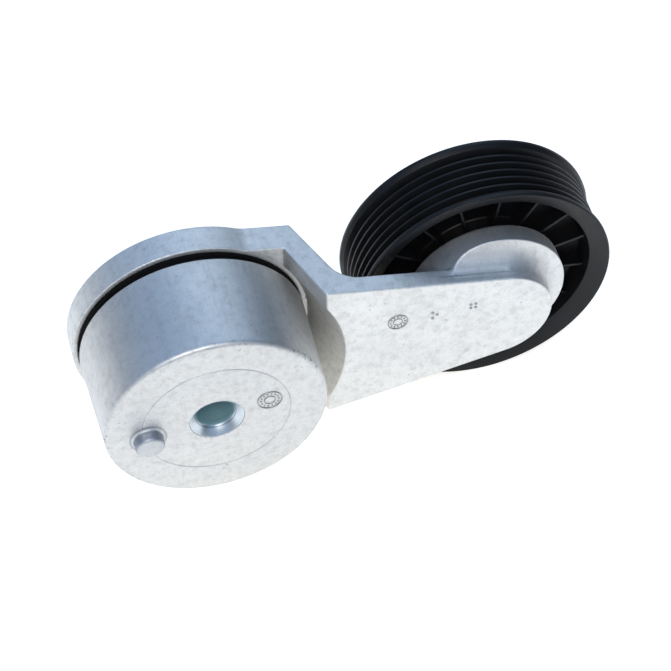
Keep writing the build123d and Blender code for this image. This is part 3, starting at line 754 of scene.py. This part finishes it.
# =====================================================================
# pulley
# =====================================================================
PITCH, NG, MID, HALF = 3.56, 6, 45.84, 13.85
CR, VR, FR, RIN = 45.7, 42.8, 47.1, 40.3
tv = math.tan(math.radians(20))
rise = (CR - VR) * tv
flat = (PITCH - 2 * rise) / 2
pp = [(RIN, -HALF + 3.2, 0.5), (FR - 0.5, -HALF, 0.35), (FR, -HALF + 0.5, 0.3), (FR, -HALF + 1.7, 0.25)]
first = -PITCH * (NG - 1) / 2
for i in range(NG):
    c = first + i * PITCH
    pp.append((CR + 0.5, c - flat / 2 - rise - 0.25, 0.3) if i == 0 else (CR, c - flat / 2 - rise + 0.0, 0.0))
    pp += [(VR, c - flat / 2, 0.18), (VR, c + flat / 2, 0.18)]
    pp.append((CR + 0.5, c + flat / 2 + rise + 0.25, 0.3) if i == NG - 1 else (CR, c + flat / 2 + rise - 0.0, 0.0))
pp += [(FR, HALF - 1.7, 0.25), (FR, HALF - 0.5, 0.3), (FR - 0.5, HALF, 0.35), (RIN, HALF - 3.2, 0.5),
       (RIN - 1.0, 1.5, 1.2), (23.8, 1.5, 1.0), (23.2, 6.8, 0.3), (18.8, 6.8, 0.2), (18.8, 6.0), (20.0, 6.0), (20.0, -6.0), (18.8, -6.0),
       (18.8, -6.8, 0.2), (23.2, -6.8, 0.3), (23.8, -1.5, 1.0), (RIN - 1.0, -1.5, 1.2)]
# merge the two coincident crest corners of neighbouring grooves into one rounded crest
clean = []
for p in pp:
    if clean and abs(clean[-1][0] - p[0]) < 1e-6 and abs(clean[-1][1] - p[1]) < 1e-6:
        clean[-1] = (p[0], p[1], 0.22)
    else:
        clean.append(p)
pul = lathe("pulley_rim", [(r, y + MID) for r, y in rounded(clean, 4)], cx=L, segs=288, sharp_deg=30)


def rib(r0, r1, y0, y1, t, ang):
    """Radial rib: thin, slightly thicker at the web, soft long edges."""
    e = 0.18
    sec = [(-t / 2, 1.0), (-t / 2 + 0.12, 0.0 + e), (-t / 2 + 0.12 + e, 0.0), (t / 2 - 0.12 - e, 0.0), (t / 2 - 0.12, e), (t / 2, 1.0)]
    vs = []
    for r in (r0, r1):
        for s, h in sec:
            y = y0 + (y1 - y0) * h if h == 1.0 else y0 + (1 if y1 > y0 else -1) * h
            vs.append((r, y, s))
    n = len(sec)
    fs = [(k, (k + 1) % n, n + (k + 1) % n, n + k) for k in range(n)] + [tuple(range(n))[::-1], tuple(range(n, 2 * n))]
    ca, sa = math.cos(math.radians(ang)), math.sin(math.radians(ang))
    vs = [(L + r * ca + s * sa, y, -r * sa + s * ca) for r, y, s in vs]
    ob = new_object("rib", vs, fs, smooth=False)
    bm = bmesh.new()
    bm.from_mesh(ob.data)
    bmesh.ops.recalc_face_normals(bm, faces=bm.faces[:])
    bm.to_mesh(ob.data)
    bm.free()
    shade(ob, 40)
    return ob


ribs = []
for k in range(16):
    ang = 9.3 + 22.5 * k
    ribs.append(rib(22.8, 39.75, MID - 7.6, MID - 1.2, 1.25, ang))
    ribs.append(rib(22.8, 39.75, MID + 7.6, MID + 1.2, 1.25, ang))
pul = join("pulley_body", [pul] + ribs)
dress(pul, M_PULLEY, "pulley_wheel", ["pulley"])

# =====================================================================
# turned and pressed parts
# =====================================================================
tube = lathe("pivot_tube_steel", rounded([
    (9.55, 0.05, 0.2), (9.8, 0.35), (9.8, 1.2), (9.0, 3.0), (9.0, 51.4), (11.2, 51.4, 0.1), (11.2, 52.6, 0.5),
    (6.9, 52.6, 0.3), (6.5, 52.1), (6.5, 3.3, 0.3), (6.75, 2.7, 0.25)], 4), segs=160)
dress(tube, M_TUBE, "base", ["pivot_tube"])

plate = lathe("front_plate_steel", rounded([(9.0, 49.4), (19.5, 49.4, 0.2), (19.5, 51.4, 0.6), (11.4, 51.4), (9.0, 51.4)], 4), segs=128)
dress(plate, M_PLATE, "base", ["front_plate"])

seal = lathe("dust_seal_ring", rounded([(36.2, 38.15, 0.2), (38.6, 38.15, 0.4), (38.6, 41.2), (40.6, 42.0), (40.6, 43.5), (36.2, 43.5)], 4), segs=192)
dress(seal, M_SEAL, "swing_arm", ["dust_seal"])

by0, by1 = MID - 6.0, MID + 6.0
rs = lathe("rear_shield_steel", rounded([
    (8.5, by0 - 1.0), (14.0, by0 - 1.0, 1.0), (15.5, by0 - 1.9, 1.0), (21.5, by0 - 1.9, 0.3), (21.5, by0 - 1.0, 0.3), (15.9, by0 - 1.0, 0.6), (14.4, by0 - 0.1, 0.6), (12.0, by0), (8.5, by0)], 4), cx=L, segs=128)
dress(rs, M_SHIELD, "swing_arm", ["rear_dust_shield"])
fs_ = lathe("front_shield_steel", rounded([
    (5.1, by1), (12.0, by1), (14.4, by1 + 0.1, 0.6), (15.9, by1 + 1.0, 0.6), (21.5, by1 + 1.0, 0.3), (21.5, by1 + 1.9, 0.3), (15.5, by1 + 1.9, 1.0), (14.0, by1 + 1.0, 1.0), (5.1, by1 + 1.0)], 4), cx=L, segs=128)
dress(fs_, M_SHIELD, "swing_arm", ["front_dust_shield"])

hy = by1 + 1.0
shank = [(0.0, 25.0), (4.2, 25.0)]
y = 25.8
while y < hy - 8.0:
    shank += [(4.98, y), (4.98, y + 0.2), (4.45, y + 0.75), (4.45, y + 0.85)]
    y += 1.5
shank += [(4.98, hy - 6.5), (4.98, hy)]
bolt = lathe("bolt_shank", shank + rounded([(4.98, hy), (10.5, hy, 0.3), (10.5, hy + 0.9, 0.4), (8.4, hy + 2.3, 0.5), (0.0, hy + 2.3)], 4)[1:], cx=L, segs=96)


def hexagon(name, cx, y0, y1, af, chamfer):
    rc = af / math.sqrt(3)
    n = 72
    vs, fs = [], []
    levels = []
    for yy, lim in ((y0, 99.0), (y1 - chamfer * 0.9, 99.0), (y1 - chamfer * 0.45, rc - 0.35), (y1 - 0.1, rc - 0.9), (y1, rc - 1.1)):
        lev = []
        for k in range(n):
            a = 2 * math.pi * k / n
            m = (a + math.pi / 6) % (math.pi / 3) - math.pi / 6
            rr = min(af / 2 / math.cos(m), lim)
            lev.append(len(vs))
            vs.append((cx + rr * math.cos(a), yy, -rr * math.sin(a)))
        levels.append(lev)
    for la, lb in zip(levels, levels[1:]):
        for k in range(n):
            fs.append((la[k], la[(k + 1) % n], lb[(k + 1) % n], lb[k]))
    fs.append(tuple(levels[0][::-1]))
    fs.append(tuple(levels[-1]))
    ob = new_object(name, vs, fs, smooth=False)
    bm = bmesh.new()
    bm.from_mesh(ob.data)
    bmesh.ops.recalc_face_normals(bm, faces=bm.faces[:])
    bm.to_mesh(ob.data)
    bm.free()
    shade(ob, 25)
    return ob


head = hexagon("bolt_head", L, hy + 1.2, hy + 8.2, 16.0, 1.4)
bolt = join("pulley_bolt_steel", [bolt, head])
dress(bolt, M_BOLT, "swing_arm", ["pulley_bolt"])

# bearing, with true raceways
def race(name, r0, r1, inner):
    g = 3.45
    pts = []
    edge = r1 if inner else r0
    half = math.sqrt(g * g - (14.25 - edge) ** 2)
    arc = []
    for k in range(17):
        t = -half + 2 * half * k / 16
        rr = 14.25 - math.sqrt(g * g - t * t) if inner else 14.25 + math.sqrt(g * g - t * t)
        arc.append((rr, MID + t))
    if inner:
        prof = [(r0 + 0.4, by0), (r1 - 0.2, by0), (r1, by0 + 0.2)] + arc + [(r1, by1 - 0.2), (r1 - 0.2, by1), (r0 + 0.4, by1), (r0, by1 - 0.4), (r0, by0 + 0.4)]
    else:
        prof = [(r1 - 0.4, by0), (r0 + 0.2, by0), (r0, by0 + 0.2)] + arc + [(r0, by1 - 0.2), (r0 + 0.2, by1), (r1 - 0.4, by1), (r1, by1 - 0.4), (r1, by0 + 0.4)]
    return lathe(name, prof, cx=L, segs=144, sharp_deg=35)


dress(race("inner_race_steel", 8.5, 12.1, True), M_BRG, "swing_arm", ["bearing_inner_race"])
dress(race("outer_race_steel", 16.4, 20.0, False), M_BRG, "pulley_wheel", ["bearing_outer_race"])
for tag, ya, yb in (("rear", by0 + 0.2, by0 + 1.1), ("front", by1 - 1.1, by1 - 0.2)):
    s = lathe("bearing_seal_%s_ring" % tag, rounded([(12.35, ya, 0.3), (16.4, ya, 0.1), (16.4, yb, 0.1), (12.35, yb, 0.3)], 3), cx=L, segs=128)
    dress(s, M_SEAL, "pulley_wheel", ["bearing_seal_%s" % tag])

balls = []
for k in range(8):
    a = 2 * math.pi * k / 8
    bm = bmesh.new()
    bmesh.ops.create_uvsphere(bm, u_segments=32, v_segments=16, radius=3.3 * MM)
    me = bpy.data.meshes.new("ball")
    bm.to_mesh(me)
    bm.free()
    me.transform(Matrix.Translation(((L + 14.25 * math.cos(a)) * MM, MID * MM, -14.25 * math.sin(a) * MM)))
    o = bpy.data.objects.new("ball", me)
    bpy.context.scene.collection.objects.link(o)
    shade(o, 60)
    balls.append(o)
dress(join("bearing_balls_steel", balls), M_BALL, "ball_set", ["bearing_balls"])

# torsion spring: smooth helix
def helix(name, coil_r, wire, y0, y1, turns, per=56, sides=14):
    n = int(turns * per)
    vs, fs = [], []
    for i in range(n + 1):
        t = i / n
        a = 2 * math.pi * turns * t
        c = np.array([coil_r * math.cos(a), y0 + (y1 - y0) * t, -coil_r * math.sin(a)])
        er = np.array([math.cos(a), 0.0, -math.sin(a)])
        k = (y1 - y0) / (2 * math.pi * turns * coil_r)
        tan = np.array([-math.sin(a), k, -math.cos(a)])
        tan /= np.linalg.norm(tan)
        eb = np.cross(tan, er)
        for j in range(sides):
            b_ = 2 * math.pi * j / sides
            vs.append(c + wire * (math.cos(b_) * er + math.sin(b_) * eb))
    for i in range(n):
        for j in range(sides):
            j2 = (j + 1) % sides
            fs.append((i * sides + j, i * sides + j2, (i + 1) * sides + j2, (i + 1) * sides + j))
    fs.append(tuple(range(sides))[::-1])
    fs.append(tuple(range(n * sides, (n + 1) * sides)))
    ob = new_object(name, vs, fs, smooth=False)
    bm = bmesh.new()
    bm.from_mesh(ob.data)
    bmesh.ops.recalc_face_normals(bm, faces=bm.faces[:])
    bm.to_mesh(ob.data)
    bm.free()
    shade(ob, 50)
    return ob


spring = helix("torsion_spring_steel", 24.6, 2.9, 10.35, 40.25, 4.6)
spring.data.materials.append(M_SPRING)
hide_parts("torsion_spring")
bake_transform(spring)

# inner parts keep their CAD shape
for node, mat in (("spring_seat", M_NYLON), ("rear_thrust_washer", M_BUSH), ("front_thrust_washer", M_BUSH), ("pivot_bushing", M_BUSH),
                  ("spring_sleeve", M_NYLON), ("damper_backing", M_PLATE), ("damper_shoe", M_SHOE),
                  ("bearing_cage", M_CAGE)):
    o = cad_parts[node]
    o.data.materials.clear()
    o.data.materials.append(mat)

# =====================================================================
# stage, light and camera
# =====================================================================
lo, hi = [np.array(v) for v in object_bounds()]
floor_z = -0.0472

# painted light: the floor's colour and its warm glow are brightest near the object and fall off with distance, a
# painted pool of light; the floor glows though it is no lamp
fm, nt, b = nodes_of("floor_painted_light")
oc = object_co(nt)
dv = N(nt, "ShaderNodeVectorMath", operation="DISTANCE")
nt.links.new(oc, dv.inputs[0])
dv.inputs[1].default_value = (0.06, -0.10, floor_z)
light_pool_dist = dv.outputs["Value"]
c = mix(nt, 1.0, ramp(nt, noise(nt, oc, 3.0, 3.0), [(0.3, 0.80), (0.7, 0.82)]), ramp(nt, math_node(nt, "MULTIPLY", light_pool_dist, 0.5), [(0.13, 1.0), (0.45, 0.42), (1.0, 0.36)]), "MULTIPLY")
nt.links.new(c, b.inputs["Base Color"])
b.inputs["Roughness"].default_value = 0.9
b.inputs["Specular IOR Level"].default_value = 0.0
nt.links.new(ramp(nt, math_node(nt, "MULTIPLY", light_pool_dist, 0.5), [(0.13, (1.0, 0.965, 0.895)), (0.45, (0.42, 0.41, 0.39)), (1.0, (0.36, 0.36, 0.36))]), b.inputs["Emission Color"])
b.inputs["Emission Strength"].default_value = 0.71
me = bpy.data.meshes.new("floor")
s = 6.0
me.from_pydata([(-s, -s, floor_z), (s, -s, floor_z), (s, s, floor_z), (-s, s, floor_z)], [], [(0, 1, 2, 3)])
floor = bpy.data.objects.new("floor", me)
floor.data.materials.append(fm)
bpy.context.scene.collection.objects.link(floor)

world = bpy.data.worlds.new("studio")
bpy.context.scene.world = world
world.use_nodes = True
wn = world.node_tree
bg = wn.nodes["Background"]
tc = wn.nodes.new("ShaderNodeTexCoord")
sp = wn.nodes.new("ShaderNodeSeparateXYZ")
wn.links.new(tc.outputs["Generated"], sp.inputs[0])
wr = wn.nodes.new("ShaderNodeValToRGB")
wn.links.new(sp.outputs[2], wr.inputs[0])
el = wr.color_ramp.elements
el[0].position = 0.0
el[0].color = (0.43, 0.43, 0.42, 1)
el[1].position = 0.14
el[1].color = (0.27, 0.34, 0.46, 1)
e = el.new(0.95)
e.color = (0.265, 0.435, 0.73, 1)
# darker room to the right of the camera
xr = wn.nodes.new("ShaderNodeMapRange")
xr.interpolation_type = "SMOOTHSTEP"
wn.links.new(sp.outputs[0], xr.inputs["Value"])
xr.inputs["From Min"].default_value = 0.50
xr.inputs["From Max"].default_value = 0.80
xr.inputs["To Min"].default_value = 1.0
xr.inputs["To Max"].default_value = 0.25
wx = wn.nodes.new("ShaderNodeVectorMath")
wx.operation = "SCALE"
wn.links.new(wr.outputs[0], wx.inputs[0])
wn.links.new(xr.outputs[0], wx.inputs["Scale"])
wn.links.new(wx.outputs[0], bg.inputs[0])
bg.inputs[1].default_value = 1.0


def area(name, loc, target, size, power, color=(1, 1, 1)):
    li = bpy.data.lights.new(name, "AREA")
    li.shape = "RECTANGLE"
    li.size, li.size_y = size
    li.energy = power
    li.color = color
    ob = bpy.data.objects.new(name, li)
    ob.location = loc
    d = Vector(target) - Vector(loc)
    ob.rotation_euler = d.to_track_quat("-Z", "Y").to_euler()
    bpy.context.scene.collection.objects.link(ob)
    return ob


ctr = (0.05, 0.03, 0.0)
area("key_front", (-0.25, -1.0, 1.25), ctr, (0.9, 0.7), 10.8, (1.0, 0.942, 0.845))
area("band", (0.46, 1.05, 1.25), ctr, (1.35, 0.8), 3.3, (0.80, 0.91, 1.0))

bpy.context.scene.view_settings.view_transform = "Standard"

cam = bpy.data.cameras.new("camera")
cam.sensor_width = 36.0
cam.lens = 125.3966
cam.clip_start = 0.05
cam.clip_end = 20.0
cam_ob = bpy.data.objects.new("camera", cam)
right = Vector((0.965764, -0.259067, -0.013594))
up = Vector((0.209319, 0.747209, 0.630764))
back = -Vector((0.153253, 0.612015, -0.775855))
m = Matrix((
    (right.x, up.x, back.x, -0.077973),
    (right.y, up.y, back.y, -0.481264),
    (right.z, up.z, back.z, 0.641680),
    (0, 0, 0, 1)))
cam_ob.matrix_world = m
bpy.context.scene.collection.objects.link(cam_ob)
bpy.context.scene.camera = cam_ob
